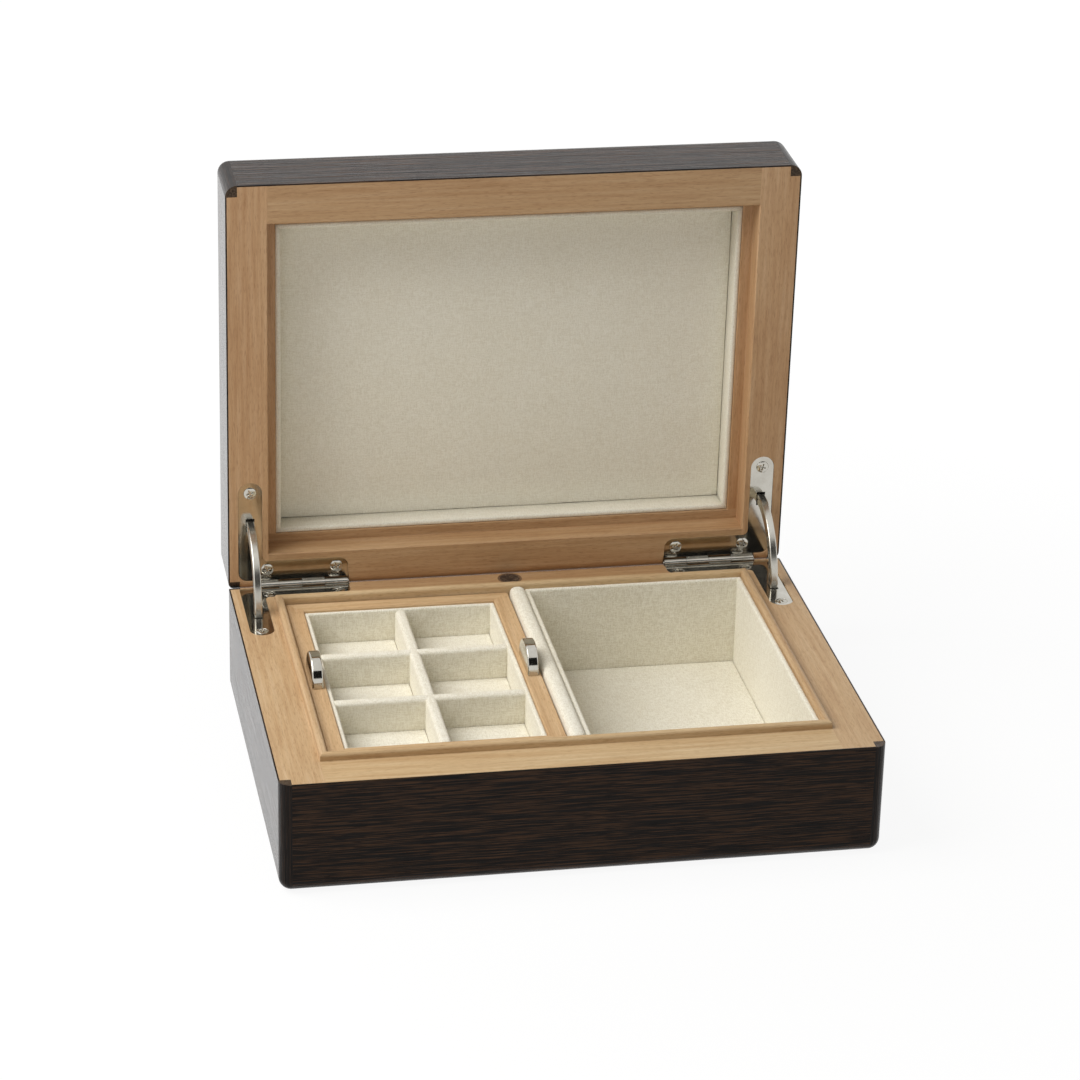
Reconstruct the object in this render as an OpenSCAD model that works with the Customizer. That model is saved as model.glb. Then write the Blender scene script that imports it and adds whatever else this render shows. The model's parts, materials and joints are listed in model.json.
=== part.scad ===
// Cufflink display box: veneered case with a hinged lid, two quadrant stay hinges,
// a padded divider, a lined well and a lift-out tray of six lined cells.
// Millimetres. The origin is the middle of the underside, +Y is the hinge side, +Z is up.

/* [Case] */
// Outer width of the box
box_w = 220; // [200:1:260]
// Outer depth of the box
box_d = 168; // [160:1:200]
// Height of the base, underside of the wood to the rim
base_h = 43.2; // [41:0.2:60]
// Height of the lid, rim to top
lid_h = 30.8; // [30:0.2:40]
// Round-over of the outer edges, and the side of the hardwood beads let into them
edge_r = 4.5; // [4:0.1:5]
// Thickness of the dark veneer
veneer_t = 0.6; // [0.4:0.1:0.8]
// Gap between the two rims when shut
rim_gap = 0.2; // [0.2:0.05:0.4]
// Angle to which the lid is open in the modelled pose
open_deg = 88.5; // [80:0.5:90]

/* [Base] */
// Thickness of the base walls
wall_t = 16.5; // [16.5:0.1:18]
// Thickness of the lip frame inside the walls
lip_t = 3; // [2.5:0.1:3]
// Height of the lip above the rim
lip_h = 2.8; // [2:0.1:4]
// Thickness of the bottom panel
bottom_t = 6; // [4:0.5:6]
// Thickness of the felt under the box
felt_t = 0.8; // [0.5:0.1:1]

/* [Lid] */
// Width of the lid rim
lid_wall_t = 15.8; // [15:0.1:16]
// Depth of the rebate that takes the lip
rebate_h = 10; // [10:0.1:11]
// Width of the ledge at the bottom of the rebate
ledge_w = 4; // [3:0.1:4]
// Depth of the lining panel below the rim
recess_h = 19; // [18:0.1:20]

/* [Lining] */
// Thickness of a covered lining board
board_t = 2; // [1.5:0.1:2]
// Width of the padded divider
divider_w = 6; // [5:0.1:7]
// Middle of the padded divider, left of the middle of the box when negative
divider_x = 0.6; // [-2:0.1:4]

/* [Tray] */
// Width of a tray rail
rail_w = 6.5; // [6.5:0.1:7]
// Height of the tray
tray_h = 18; // [17:0.5:19]
// Thickness of a fabric-covered tray divider
cell_wall_t = 4.2; // [3:0.1:5]
// Number of cells across
cells_x = 2; // [2:1:3]
// Number of cells front to back
cells_y = 3; // [2:1:4]
// Radius of the half-moon lifting tabs
tab_r = 10; // [8:0.5:10]
// Thickness of the lifting tabs
tab_t = 4.1; // [3:0.1:4.1]

/* [Hinges] */
// Distance of the pin axis from the back of the box
pin_inset = 2.4; // [2.3:0.1:2.5]
// Thickness of a hinge leaf
leaf_t = 1.6; // [1.4:0.1:1.8]
// Depth of a leaf's face below the rim
leaf_sink = 0.5; // [0.5:0.1:0.8]
// Radius of the hinge knuckles
knuckle_r = 1.5; // [1.4:0.1:1.6]
// Number of knuckles on each hinge
knuckles = 4; // [4:2:6]
// Outer radius of the curved stay
stay_ro = 28; // [27:0.1:28]
// Inner radius of the curved stay
stay_ri = 23.6; // [23:0.1:24]
// Thickness of the curved stay
stay_t = 2.9; // [2.5:0.1:3]

/* [Hidden] */
$fn = 64;
eps = 0.01;
half_w = box_w / 2;
rim_z = base_h + felt_t;

// Base interior
lip_out = half_w - wall_t;              // outer face of the lip, from the middle
lip_in = lip_out - lip_t;               // inner face of the lip
lip_front = wall_t + lip_t;             // inner face of the front lip
lip_back = box_d - wall_t - lip_t;      // inner face of the back lip
lip_round = 1.2;                        // rounding on the lip's top edges
floor_z = -base_h + bottom_t;           // top of the bottom panel
panel_tongue = 6;                       // how far the bottom panel runs into the walls
pad_t = 2;                              // floor pads
pad_ease = 0.6;                         // easing of a pad's edges
board_top = 0.5;                        // top of the well's boards above the rim
felt_inset = 6.5;

// Divider
div_l = divider_x - divider_w / 2;
div_r = divider_x + divider_w / 2;
div_top = 2.4;
div_round = 2.6;
div_end_gap = 0.15;

// Tray, in the pocket left of the divider
tray_gap = 0.5;
tray_l = -lip_in + tray_gap;
tray_r = div_l - tray_gap;
tray_f = lip_front + tray_gap;
tray_b = lip_back - tray_gap;
tray_top = -0.4;
tray_bot = tray_top - tray_h;
tray_corner_r = 1.6;
tray_floor_t = 2;
tray_floor_z = tray_bot + 1 + tray_floor_t;
tray_groove = 2;
lining_t = 1.8;
lining_top = tray_top - 0.8;
cell_wall_round = 1.5;
cell_pad_t = 1.6;
wood_break = 0.4;                       // broken edges of bare wood
in_l = tray_l + rail_w + lining_t;      // inside of the lined tray
in_r = tray_r - rail_w - lining_t;
in_f = tray_f + rail_w + lining_t;
in_b = tray_b - rail_w - lining_t;
cell_w = (in_r - in_l - (cells_x - 1) * cell_wall_t) / cells_x;
cell_d = (in_b - in_f - (cells_y - 1) * cell_wall_t) / cells_y;
ledge_board_t = 3;
tab_pin_r = 1.2;
tab_pin_h = 6;
tab_pin_pitch = 11;
tab_bevel = 0.4;

// Lid interior
lid_in_t = lid_wall_t + ledge_w;        // inner face of the lid rails below the ledge
strip_t = 2;
pad_back_z = recess_h + 2.5;            // back of the lining pad
core_top = lid_h - veneer_t;
core_tongue = 5;

// Hinge: pin axis at y = pin_y, z = pin_z, along X
pin_y = box_d - pin_inset;
pin_z = rim_gap / 2;
pin_r = 0.8;
bore_r = pin_r + 0.03;
groove_r = knuckle_r + 0.3;
leaf_out = half_w - 4.1;                // outer edge of the side leg
side_leg_w = 9.1;
side_leg_end = pin_y - 44;              // front end of the side leg
side_leg_back = pin_y - 2;              // its end at the hinge line
back_leg_end = half_w - 46.8;           // inner end of the back leg
back_leg_front = pin_y - 10.3;
corner_in_r = 2;
corner_end_r = 4;
barrel_out = half_w - 10.6;
barrel_in = back_leg_end;
knuckle_gap = 0.15;
knuckle_l = (barrel_out - barrel_in) / knuckles;
mortise_gap = 0.15;
pin_proud = 0.3;                        // how far a pin stands out of its barrel
trough_end = pin_proud + 0.15;
base_corner_r = 1.5;                    // outer back corner of the leaves
lid_corner_r = 4;
stay_x = leaf_out - side_leg_w / 2;     // middle of the slot and the stay
slot_w = stay_t + 0.5;
slot_front = pin_y - stay_ro - 0.6;
slot_back = pin_y - stay_ri + 0.6;
stay_rm = (stay_ro + stay_ri) / 2;
stay_end_r = (stay_ro - stay_ri) / 2;
stay_bevel = 0.35;
stud_r = 1.5;
stud_l = 5.6;
// Angle between a leaf's face and the stud stopped below it
stud_deg = asin((pin_z + leaf_sink + leaf_t + stud_r + 0.3) / stay_rm);
stay_deg = open_deg + 2 * stud_deg;
pocket_w = stud_l + 0.8;
pocket_front = pin_y - stay_ro - 1.2;
pocket_back = pin_y - 10.4;
pocket_h = 26.4;

// Screws: oval heads, the same pattern on each leaf
head_r = 2.4;
head_rise = 0.4;
shank_r = 1.2;
shank_l = 9;
cone_h = 1.2;
screw_at = [
    [stay_x, side_leg_end + 4.5],
    [half_w - 15.2, pin_y - 6.6],
    [half_w - 42.3, pin_y - 6.6]
];

// Round inlay let into the back rim
inlay_r = 4.8;
inlay_t = 1.5;
inlay_y = box_d - 8.4;

wenge = "#33241f";
light_wood = "#cfa879";
cream = "#e9e2d2";
nickel = "#c9c9c6";
felt_green = "#4a4038";

// Frames of drawing.
// Both halves are drawn with x from the middle, y from the front and z from their own rim,
// the base below it and the lid, as if shut, above it.
module in_base() {
    translate([0, -box_d / 2, rim_z]) children();
}

module in_lid() {
    in_base()
    translate([0, pin_y, pin_z])
    rotate([-open_deg, 0, 0])
    translate([0, -pin_y, -pin_z + rim_gap])
    children();
}

// A block between two opposite corners
module block(low, high) {
    translate(low) cube(high - low);
}

// A block whose top face at z1 is larger on every side by grow, smaller where grow is negative
module flare(x0, y0, x1, y1, z0, z1, grow) {
    polyhedron(
        points = [[x0, y0, z0], [x1, y0, z0], [x1, y1, z0], [x0, y1, z0],
            [x0 - grow, y0 - grow, z1], [x1 + grow, y0 - grow, z1],
            [x1 + grow, y1 + grow, z1], [x0 - grow, y1 + grow, z1]],
        faces = z1 > z0
            ? [[0, 1, 2, 3], [7, 6, 5, 4], [0, 4, 5, 1], [1, 5, 6, 2], [2, 6, 7, 3], [3, 7, 4, 0]]
            : [[3, 2, 1, 0], [4, 5, 6, 7], [1, 5, 4, 0], [2, 6, 5, 1], [3, 7, 6, 2], [0, 4, 7, 3]]);
}

// A pad with a flat top whose edges are eased all round
module soft_pad(x0, y0, x1, y1, z0, thick) {
    ease = pad_ease;
    block([x0, y0, z0], [x1, y1, z0 + thick - ease]);
    flare(x0, y0, x1, y1, z0 + thick - ease, z0 + thick, -ease);
}

// Section of a strip with rounded top edges, its outer face at x = 0 and its foot at y = 0
module round_top(w, h, r) {
    square([w, h - r]);
    if (w > 2 * r) translate([r, 0]) square([w - 2 * r, h]);
    for (x = [r, w - r]) translate([x, h - r]) circle(r);
}

// A round-topped board along y, and one along x, between two opposite corners
module board_y(low, high, r) {
    translate([low[0], low[1], low[2]]) rotate([90, 0, 0]) mirror([0, 0, 1])
        linear_extrude(high[1] - low[1]) round_top(high[0] - low[0], high[2] - low[2], r);
}

module board_x(low, high, r) {
    translate([low[0], low[1], low[2]]) rotate([90, 0, 90])
        linear_extrude(high[0] - low[0]) round_top(high[1] - low[1], high[2] - low[2], r);
}

module both_sides() {
    children();
    mirror([1, 0, 0]) children();
}

// Quarter of a disc that fills a bead's square, round side towards the square's outer corner.
// The square's outer corner is at the origin and its body lies towards +x and +y.
module bead_section() {
    intersection() {
        square(edge_r);
        translate([edge_r, edge_r]) circle(edge_r);
    }
}

// What the round-over takes off the back edge of a rim; z is the half's height, down for the base
module back_round_cut(up) {
    mirror([0, 0, up ? 1 : 0])
    difference() {
        block([-half_w - 1, box_d - edge_r, -edge_r], [half_w + 1, box_d + 1, 1]);
        translate([-half_w - 2, box_d - edge_r, -edge_r]) rotate([0, 90, 0])
            cylinder(r = edge_r, h = box_w + 4);
    }
}

// Squares of the upright beads at the four corners of one half
module corner_bead_squares(z0, z1) {
    for (s = [-1, 1], back = [0, 1])
        translate([s * half_w, back * box_d, 0])
        mirror([s > 0 ? 1 : 0, 0, 0])
        mirror([0, back, 0])
        translate([-1, -1, z0]) cube([edge_r + 1, edge_r + 1, z1 - z0]);
}

// Squares of the beads along the outer edge at height z0 to z1
module edge_bead_squares(z0, z1) {
    both_sides() block([-half_w - 1, -1, z0], [-half_w + edge_r, box_d + 1, z1]);
    block([-half_w, -1, z0], [half_w, edge_r, z1]);
    block([-half_w, box_d - edge_r, z0], [half_w, box_d + 1, z1]);
}

// One upright bead with its ball corner, outer corner at the origin, ball end at z = 0
module upright_bead(length) {
    translate([edge_r, edge_r, 0]) rotate([0, 0, 180]) rotate_extrude(angle = 90) {
        translate([0, edge_r]) square([edge_r, length - edge_r]);
        intersection() {
            square(edge_r);
            translate([0, edge_r]) circle(edge_r);
        }
    }
}

// Four upright beads of a half of the given height, ball ends at z = 0
module upright_beads(height) {
    for (s = [-1, 1], back = [0, 1])
        translate([s * half_w, back * box_d, 0])
        mirror([s > 0 ? 1 : 0, 0, 0])
        mirror([0, back, 0])
        upright_bead(height);
}

// Four level beads round an outer edge, outer face at z = 0 and body towards +z
module level_beads() {
    both_sides()
        translate([-half_w, edge_r, 0]) rotate([90, 0, 0]) mirror([0, 0, 1])
        linear_extrude(box_d - 2 * edge_r) bead_section();
    for (back = [0, 1])
        translate([-half_w + edge_r, back * box_d, 0]) mirror([0, back, 0])
        rotate([90, 0, 90]) linear_extrude(box_w - 2 * edge_r) bead_section();
}

// Hinge cuts in the wood of the base on the right; the lid uses their mirror image
module leaf_outline(grow, outer_r) {
    inner = stay_x - side_leg_w / 2;
    outer = leaf_out + grow;
    back = side_leg_back + grow;
    difference() {
        union() {
            // side leg with its round front end and its round back corner
            translate([stay_x, side_leg_end + side_leg_w / 2]) circle(side_leg_w / 2 + grow);
            translate([inner - grow, side_leg_end + side_leg_w / 2])
                square([outer - inner + grow, back - outer_r - side_leg_end - side_leg_w / 2]);
            translate([inner - grow, back_leg_front]) square([outer - outer_r - inner + grow, back - back_leg_front]);
            translate([outer - outer_r, back - outer_r]) circle(outer_r);
            // back leg, its free front corner rounded
            translate([back_leg_end - grow, back_leg_front - grow + corner_end_r])
                square([inner - back_leg_end + 2 * grow, back - back_leg_front + grow - corner_end_r]);
            translate([back_leg_end + corner_end_r - grow, back_leg_front - grow])
                square([inner - back_leg_end - corner_end_r + grow, corner_end_r + 1]);
            translate([back_leg_end + corner_end_r - grow, back_leg_front + corner_end_r - grow])
                circle(corner_end_r);
            // fillet between the legs
            translate([inner - corner_in_r - grow, back_leg_front - corner_in_r - grow])
                square([corner_in_r + 1, corner_in_r + 1]);
        }
        translate([inner - corner_in_r - grow, back_leg_front - corner_in_r - grow])
            circle(corner_in_r);
    }
}

module hinge_cuts(outer_r) {
    // mortise for the leaf
    translate([0, 0, -leaf_sink - leaf_t]) linear_extrude(leaf_sink + leaf_t + 1)
        leaf_outline(mortise_gap, outer_r);
    // mortise between the leaf and the knuckles
    block([barrel_in - trough_end, side_leg_back - 1, -leaf_sink - leaf_t],
        [barrel_out + trough_end, pin_y, 1]);
    // trough for the knuckles
    translate([barrel_in - trough_end, pin_y, pin_z]) rotate([0, 90, 0])
        cylinder(r = groove_r, h = barrel_out - barrel_in + 2 * trough_end);
    // pocket for the stay
    block([stay_x - pocket_w / 2, pocket_front, -pocket_h],
        [stay_x + pocket_w / 2, pocket_back, 0]);
    for (at = screw_at)
        translate([at[0], at[1], -leaf_sink - shank_l - 0.5]) cylinder(r = shank_r + 0.05, h = shank_l);
}

module base_hinge_cuts() {
    both_sides() hinge_cuts(base_corner_r);
}

module lid_hinge_cuts() {
    mirror([0, 0, 1]) both_sides() hinge_cuts(lid_corner_r);
}

// Base walls: the side walls run the full depth, the front and back walls fit between them
module base_wall_cuts() {
    corner_bead_squares(-base_h - 1, 1);
    edge_bead_squares(-base_h - 1, -base_h + edge_r);
    block([-lip_out - panel_tongue, wall_t - panel_tongue, -base_h - 1],
        [lip_out + panel_tongue, box_d - wall_t + panel_tongue, floor_z]);
    back_round_cut(false);
    base_hinge_cuts();
}

module base_front_wall() {
    color(light_wood) in_base() difference() {
        block([-lip_out, veneer_t, -base_h], [lip_out, wall_t, 0]);
        base_wall_cuts();
    }
}

module base_back_wall() {
    color(light_wood) in_base() difference() {
        block([-lip_out, box_d - wall_t, -base_h], [lip_out, box_d - veneer_t, 0]);
        base_wall_cuts();
        translate([0, inlay_y, -inlay_t]) cylinder(r = inlay_r, h = inlay_t + 1);
    }
}

module base_side_wall() {
    color(light_wood) in_base() difference() {
        block([-half_w + veneer_t, veneer_t, -base_h], [-lip_out, box_d - veneer_t, 0]);
        base_wall_cuts();
    }
}

module base_left_wall() {
    base_side_wall();
}

module base_right_wall() {
    mirror([1, 0, 0]) base_side_wall();
}

module base_bottom_panel() {
    color(light_wood) in_base()
        block([-lip_out - panel_tongue, wall_t - panel_tongue, -base_h],
            [lip_out + panel_tongue, box_d - wall_t + panel_tongue, floor_z]);
}

module base_felt() {
    r = 6;
    color(felt_green)
    linear_extrude(felt_t) {
        square([box_w - 2 * felt_inset, box_d - 2 * (felt_inset + r)], center = true);
        square([box_w - 2 * (felt_inset + r), box_d - 2 * felt_inset], center = true);
        for (sx = [-1, 1], sy = [-1, 1])
            translate([sx * (half_w - felt_inset - r), sy * (box_d / 2 - felt_inset - r)]) circle(r);
    }
}

module base_bottom_beads() {
    color(wenge) in_base() translate([0, 0, -base_h]) level_beads();
}

module base_corner_beads() {
    color(wenge) in_base() difference() {
        translate([0, 0, -base_h]) upright_beads(base_h);
        back_round_cut(false);
    }
}

module base_front_veneer() {
    color(wenge) in_base()
        block([-half_w + edge_r, 0, -base_h + edge_r], [half_w - edge_r, veneer_t, 0]);
}

module base_back_veneer() {
    color(wenge) in_base() difference() {
        block([-half_w + edge_r, box_d - veneer_t, -base_h + edge_r], [half_w - edge_r, box_d, 0]);
        back_round_cut(false);
    }
}

module base_left_veneer() {
    color(wenge) in_base()
        block([-half_w, edge_r, -base_h + edge_r], [-half_w + veneer_t, box_d - edge_r, 0]);
}

module base_right_veneer() {
    mirror([1, 0, 0]) base_left_veneer();
}

// Lip frame: four mitred strips that stand on the bottom panel and rise above the rim

// A strip from one mitred corner to the other, outer face on y = 0, running along x
module lip_strip(length) {
    intersection() {
        translate([-length / 2, 0, 0]) rotate([90, 0, 90]) linear_extrude(length)
            round_top(lip_t, lip_h - floor_z, lip_round);
        linear_extrude(60) polygon([[-length / 2, 0], [length / 2, 0],
            [length / 2 - lip_t, lip_t], [-length / 2 + lip_t, lip_t]]);
    }
}

module lip_front() {
    color(light_wood) in_base() translate([0, wall_t, floor_z]) lip_strip(2 * lip_out);
}

module lip_back() {
    color(light_wood) in_base() translate([0, box_d - wall_t, floor_z])
        mirror([0, 1, 0]) lip_strip(2 * lip_out);
}

module lip_left() {
    color(light_wood) in_base() translate([-lip_out, box_d / 2, floor_z])
        rotate([0, 0, -90]) lip_strip(box_d - 2 * wall_t);
}

module lip_right() {
    mirror([1, 0, 0]) lip_left();
}

module rim_inlay() {
    color(wenge) in_base() translate([0, inlay_y, -inlay_t]) cylinder(r = inlay_r, h = inlay_t);
}

// Padded divider with a round-shouldered top
module padded_divider() {
    color(cream) in_base()
        board_y([div_l, lip_front + div_end_gap, floor_z], [div_r, lip_back - div_end_gap, div_top], div_round);
}

// Four boards round the inside of a well, standing on the bottom panel
module lining_boards(x0, x1, top, t, r) {
    g = 0.05;
    board_y([x0, lip_front, floor_z], [x0 + t, lip_back, top], r);
    board_y([x1 - t, lip_front, floor_z], [x1, lip_back, top], r);
    board_x([x0 + t + g, lip_front, floor_z], [x1 - t - g, lip_front + t, top], r);
    board_x([x0 + t + g, lip_back - t, floor_z], [x1 - t - g, lip_back, top], r);
}

module well_boards() {
    color(cream) in_base() lining_boards(div_r + 0.2, lip_in, board_top, board_t, board_t / 2 - 0.15);
}

module well_floor_pad() {
    g = board_t + 0.1;
    color(cream) in_base()
        soft_pad(div_r + 0.2 + g, lip_front + g, lip_in - g, lip_back - g, floor_z, pad_t);
}

// Boards whose tops are the ledge that the tray rests on
module tray_ledge_boards() {
    color(cream) in_base() lining_boards(-lip_in, div_l, tray_bot, ledge_board_t, 0.8);
}

module lower_floor_pad() {
    g = ledge_board_t + 0.1;
    color(cream) in_base()
        soft_pad(-lip_in + g, lip_front + g, div_l - g, lip_back - g, floor_z, pad_t);
}

// One leaf of the right-hand hinge, drawn below the base's rim.
// first is 0 for the leaf that owns the outermost knuckle and 1 for the other.
module hinge_leaf(first, outer_r) {
    plate_top = -leaf_sink;
    difference() {
        union() {
            translate([0, 0, plate_top - leaf_t]) linear_extrude(leaf_t) leaf_outline(0, outer_r);
            for (i = [first : 2 : knuckles - 1]) {
                x1 = barrel_out - i * knuckle_l - knuckle_gap / 2;
                x0 = x1 - knuckle_l + knuckle_gap;
                translate([x0, pin_y, pin_z]) rotate([0, 90, 0]) cylinder(r = knuckle_r, h = x1 - x0);
                // web from the leaf to its knuckle
                block([x0, side_leg_back - 0.5, plate_top - 0.8], [x1, pin_y - 0.6, plate_top]);
            }
        }
        // slot for the stay, square at its front end
        block([stay_x - slot_w / 2, slot_front, -5], [stay_x + slot_w / 2, slot_back, 1]);
        for (at = screw_at) translate([at[0], at[1], plate_top]) {
            translate([0, 0, -cone_h - 0.05]) cylinder(r1 = shank_r, r2 = head_r + 0.05, h = cone_h + 0.05);
            translate([0, 0, -5]) cylinder(r = shank_r + 0.05, h = 6);
        }
        // bore for the pin
        translate([barrel_in - 1, pin_y, pin_z]) rotate([0, 90, 0])
            cylinder(r = bore_r, h = barrel_out - barrel_in + 2);
    }
}

// Oval-headed cross-slot screw, head face at z = 0
module leaf_screw() {
    rise_r = (head_r * head_r + head_rise * head_rise) / (2 * head_rise);
    difference() {
        union() {
            translate([0, 0, -cone_h]) cylinder(r1 = shank_r, r2 = head_r, h = cone_h);
            intersection() {
                translate([0, 0, head_rise - rise_r]) sphere(rise_r, $fn = 96);
                cylinder(r = head_r, h = head_rise + 1);
            }
            translate([0, 0, -shank_l]) cylinder(r = shank_r, h = shank_l - cone_h + eps);
        }
        for (turn = [0, 90]) rotate([0, 0, turn + 20])
            translate([-1.4, -0.25, -0.5]) cube([2.8, 0.5, 2]);
    }
}

module leaf_screws() {
    both_sides() for (at = screw_at) translate([at[0], at[1], -leaf_sink]) leaf_screw();
}

module base_leaf_right() {
    color(nickel) in_base() hinge_leaf(1, base_corner_r);
}

module base_leaf_left() {
    mirror([1, 0, 0]) base_leaf_right();
}

module base_leaf_screws() {
    color(nickel) in_base() leaf_screws();
}

module hinge_pins() {
    color(nickel) in_base() both_sides()
        translate([barrel_in - pin_proud, pin_y, pin_z]) rotate([0, 90, 0])
        cylinder(r = pin_r, h = barrel_out - barrel_in + 2 * pin_proud);
}

// The lid's leaves are the base's, turned over and with the other knuckles.
// Their knuckles turn on the same pin, which lies below the lid's own rim.
module lid_leaf_right() {
    color(nickel) in_lid() mirror([0, 0, 1]) hinge_leaf(0, lid_corner_r);
}

module lid_leaf_left() {
    mirror([1, 0, 0]) lid_leaf_right();
}

module lid_leaf_screws() {
    color(nickel) in_lid() mirror([0, 0, 1]) leaf_screws();
}

// Curved stay: an arc about the pin axis, its studs captive below both leaves
module in_stay(side) {
    in_base() translate([side * stay_x, pin_y, pin_z]) rotate([stud_deg, 0, 0]) children();
}

module stay_arc_point(a) {
    rotate([-a, 0, 0]) translate([0, -stay_rm, 0]) rotate([0, 90, 0]) children();
}

module stay(side) {
    color(nickel) in_stay(side) difference() {
        union() {
            rotate([0, -90, 0]) rotate([0, 0, -90]) translate([0, 0, -stay_t / 2]) stay_sector();
            for (a = [0, stay_deg]) stay_arc_point(a)
                cylinder(r = stay_end_r - 0.2, h = stay_t - 2 * stay_bevel, center = true);
        }
        for (a = [0, stay_deg]) stay_arc_point(a) cylinder(r = stud_r + 0.03, h = stay_t + 2, center = true);
    }
}

module stay_sector() {
    c = stay_bevel;
    rotate_extrude(angle = stay_deg) polygon([[stay_ri + c, 0], [stay_ro - c, 0], [stay_ro, c],
        [stay_ro, stay_t - c], [stay_ro - c, stay_t], [stay_ri + c, stay_t],
        [stay_ri, stay_t - c], [stay_ri, c]]);
}

module stay_studs(side) {
    color(nickel) in_stay(side)
        for (a = [0, stay_deg]) stay_arc_point(a) cylinder(r = stud_r, h = stud_l, center = true);
}

module stay_left() {
    stay(-1);
}

module stay_left_studs() {
    stay_studs(-1);
}

module stay_right() {
    stay(1);
}

module stay_right_studs() {
    stay_studs(1);
}

// Lid rails: a stepped section, so that the rebate for the lip ends in a ledge
module lid_rail_cuts() {
    corner_bead_squares(-1, lid_h + 1);
    edge_bead_squares(lid_h - edge_r, lid_h + 1);
    block([-half_w + lid_in_t - core_tongue, lid_in_t - core_tongue, pad_back_z],
        [half_w - lid_in_t + core_tongue, box_d - lid_in_t + core_tongue, lid_h + 1]);
    // broken edges round the opening and round the ledge
    for (inset_z = [[lid_wall_t, 0], [lid_in_t, rebate_h]])
        flare(-half_w + inset_z[0], inset_z[0], half_w - inset_z[0], box_d - inset_z[0],
            inset_z[1] + wood_break, inset_z[1] - eps, wood_break);
    back_round_cut(true);
    lid_hinge_cuts();
}

module lid_front_rail() {
    x = half_w - lid_wall_t;
    color(light_wood) in_lid() difference() {
        union() {
            block([-x, veneer_t, 0], [x, lid_wall_t, core_top]);
            block([-x, lid_wall_t - eps, rebate_h], [x, lid_in_t, core_top]);
        }
        lid_rail_cuts();
    }
}

module lid_back_rail() {
    x = half_w - lid_wall_t;
    color(light_wood) in_lid() difference() {
        union() {
            block([-x, box_d - lid_wall_t, 0], [x, box_d - veneer_t, core_top]);
            block([-x, box_d - lid_in_t, rebate_h], [x, box_d - lid_wall_t + eps, core_top]);
        }
        lid_rail_cuts();
    }
}

module lid_side_rail() {
    color(light_wood) in_lid() difference() {
        union() {
            block([-half_w + veneer_t, veneer_t, 0],
                [-half_w + lid_wall_t, box_d - veneer_t, core_top]);
            block([-half_w + lid_wall_t - eps, lid_in_t, rebate_h],
                [-half_w + lid_in_t, box_d - lid_in_t, core_top]);
        }
        lid_rail_cuts();
    }
}

module lid_left_rail() {
    lid_side_rail();
}

module lid_right_rail() {
    mirror([1, 0, 0]) lid_side_rail();
}

module lid_core_panel() {
    color(light_wood) in_lid()
        block([-half_w + lid_in_t - core_tongue, lid_in_t - core_tongue, pad_back_z],
            [half_w - lid_in_t + core_tongue, box_d - lid_in_t + core_tongue, core_top]);
}

module lid_top_veneer() {
    color(wenge) in_lid()
        block([-half_w + edge_r, edge_r, core_top], [half_w - edge_r, box_d - edge_r, lid_h]);
}

module lid_top_beads() {
    color(wenge) in_lid() translate([0, 0, lid_h]) mirror([0, 0, 1]) level_beads();
}

module lid_corner_beads() {
    color(wenge) in_lid() difference() {
        translate([0, 0, lid_h]) mirror([0, 0, 1]) upright_beads(lid_h);
        back_round_cut(true);
    }
}

module lid_front_veneer() {
    color(wenge) in_lid()
        block([-half_w + edge_r, 0, 0], [half_w - edge_r, veneer_t, lid_h - edge_r]);
}

module lid_back_veneer() {
    color(wenge) in_lid() difference() {
        block([-half_w + edge_r, box_d - veneer_t, 0], [half_w - edge_r, box_d, lid_h - edge_r]);
        back_round_cut(true);
    }
}

module lid_left_veneer() {
    color(wenge) in_lid()
        block([-half_w, edge_r, 0], [-half_w + veneer_t, box_d - edge_r, lid_h - edge_r]);
}

module lid_right_veneer() {
    mirror([1, 0, 0]) lid_left_veneer();
}

// Four covered strips round the lid's recess, mitred at the corners
module lid_lining_strips() {
    x = half_w - lid_in_t;
    y0 = lid_in_t;
    y1 = box_d - lid_in_t;
    g = 0.05;
    color(cream) in_lid() translate([0, 0, rebate_h]) linear_extrude(pad_back_z - rebate_h) {
        polygon([[-x + g, y0], [x - g, y0], [x - strip_t - g, y0 + strip_t], [-x + strip_t + g, y0 + strip_t]]);
        polygon([[-x + g, y1], [x - g, y1], [x - strip_t - g, y1 - strip_t], [-x + strip_t + g, y1 - strip_t]]);
        for (s = [-1, 1])
            polygon([[s * x, y0 + g], [s * x, y1 - g],
                [s * (x - strip_t), y1 - strip_t - g], [s * (x - strip_t), y0 + strip_t + g]]);
    }
}

module lid_lining_pad() {
    g = lid_in_t + strip_t + 0.1;
    color(cream) in_lid() translate([0, 0, pad_back_z]) mirror([0, 0, 1])
        soft_pad(-half_w + g, g, half_w - g, box_d - g, 0, pad_back_z - recess_h);
}

// Tray rails, mitred, grooved for the floor
module tray_plan() {
    r = tray_corner_r;
    translate([tray_l + r, tray_f]) square([tray_r - tray_l - 2 * r, tray_b - tray_f]);
    translate([tray_l, tray_f + r]) square([tray_r - tray_l, tray_b - tray_f - 2 * r]);
    for (x = [tray_l + r, tray_r - r], y = [tray_f + r, tray_b - r]) translate([x, y]) circle(r);
}

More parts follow.
